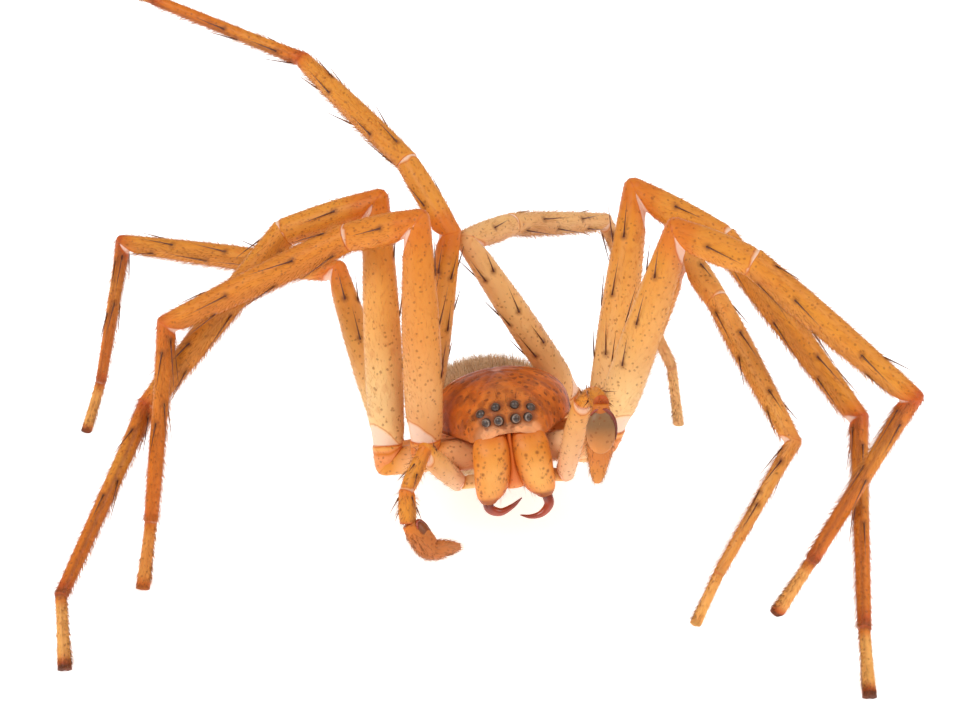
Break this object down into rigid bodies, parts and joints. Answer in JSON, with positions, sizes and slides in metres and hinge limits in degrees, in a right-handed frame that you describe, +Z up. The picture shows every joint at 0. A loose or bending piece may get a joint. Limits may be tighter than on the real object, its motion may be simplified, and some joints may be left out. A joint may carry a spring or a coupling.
{
  "type": "huntsman spider",
  "caption": "Still, life-size huntsman spider standing on its feet with the right hind leg lifted, for display.",
  "frame": {"origin": "centre of the bounding box at floor level", "axes": "+Z up, the head faces -Y, the spider's left side is +X"},
  "size_m": [0.0414, 0.0318, 0.0232],
  "materials": {
    "leg": "semi-matt orange-yellow shell with fine brown specks",
    "shield": "semi-matt orange-brown shell with darker flecks",
    "jaw": "semi-matt orange shell with brown dots",
    "fang": "glossy red-brown claw",
    "eye": "glossy near-black lens",
    "palp": "semi-matt cream to orange shell",
    "underside": "matt pale cream shell",
    "abdomen": "matt beige skin under short grey-brown hair"
  },
  "bodies": {
    "root": {"abdomen": "abdomen", "carapace": "shield", "chelicera_left": "jaw", "chelicera_right": "jaw", "eye_front_middle_left": "eye", "eye_front_middle_right": "eye", "eye_front_side_left": "eye", "eye_front_side_right": "eye", "eye_rear_middle_left": "eye", "eye_rear_middle_right": "eye", "eye_rear_side_left": "eye", "eye_rear_side_right": "eye", "fang_left": "fang", "fang_right": "fang", "leg_1_left_coxa": "leg", "leg_1_left_femur": "leg", "leg_1_left_foot": "leg", "leg_1_left_tibia": "leg", "leg_1_right_coxa": "leg", "leg_1_right_femur": "leg", "leg_1_right_foot": "leg", "leg_1_right_tibia": "leg", "leg_2_left_coxa": "leg", "leg_2_left_femur": "leg", "leg_2_left_foot": "leg", "leg_2_left_tibia": "leg", "leg_2_right_coxa": "leg", "leg_2_right_femur": "leg", "leg_2_right_foot": "leg", "leg_2_right_tibia": "leg", "leg_3_left_coxa": "leg", "leg_3_left_femur": "leg", "leg_3_left_foot": "leg", "leg_3_left_tibia": "leg", "leg_3_right_coxa": "leg", "leg_3_right_femur": "leg", "leg_3_right_foot": "leg", "leg_3_right_tibia": "leg", "leg_4_left_coxa": "leg", "leg_4_left_femur": "leg", "leg_4_left_foot": "leg", "leg_4_left_tibia": "leg", "leg_4_right_coxa": "leg", "leg_4_right_femur": "leg", "leg_4_right_foot": "leg", "leg_4_right_tibia": "leg", "palp_left_base": "underside", "palp_left_bulb": "palp", "palp_left_femur": "palp", "palp_left_tibia": "palp", "palp_right_base": "underside", "palp_right_bulb": "palp", "palp_right_femur": "palp", "palp_right_tibia": "palp", "spinneret_left": "underside", "spinneret_right": "underside", "sternum": "underside", "waist": "underside"}
  },
  "joints": []
}
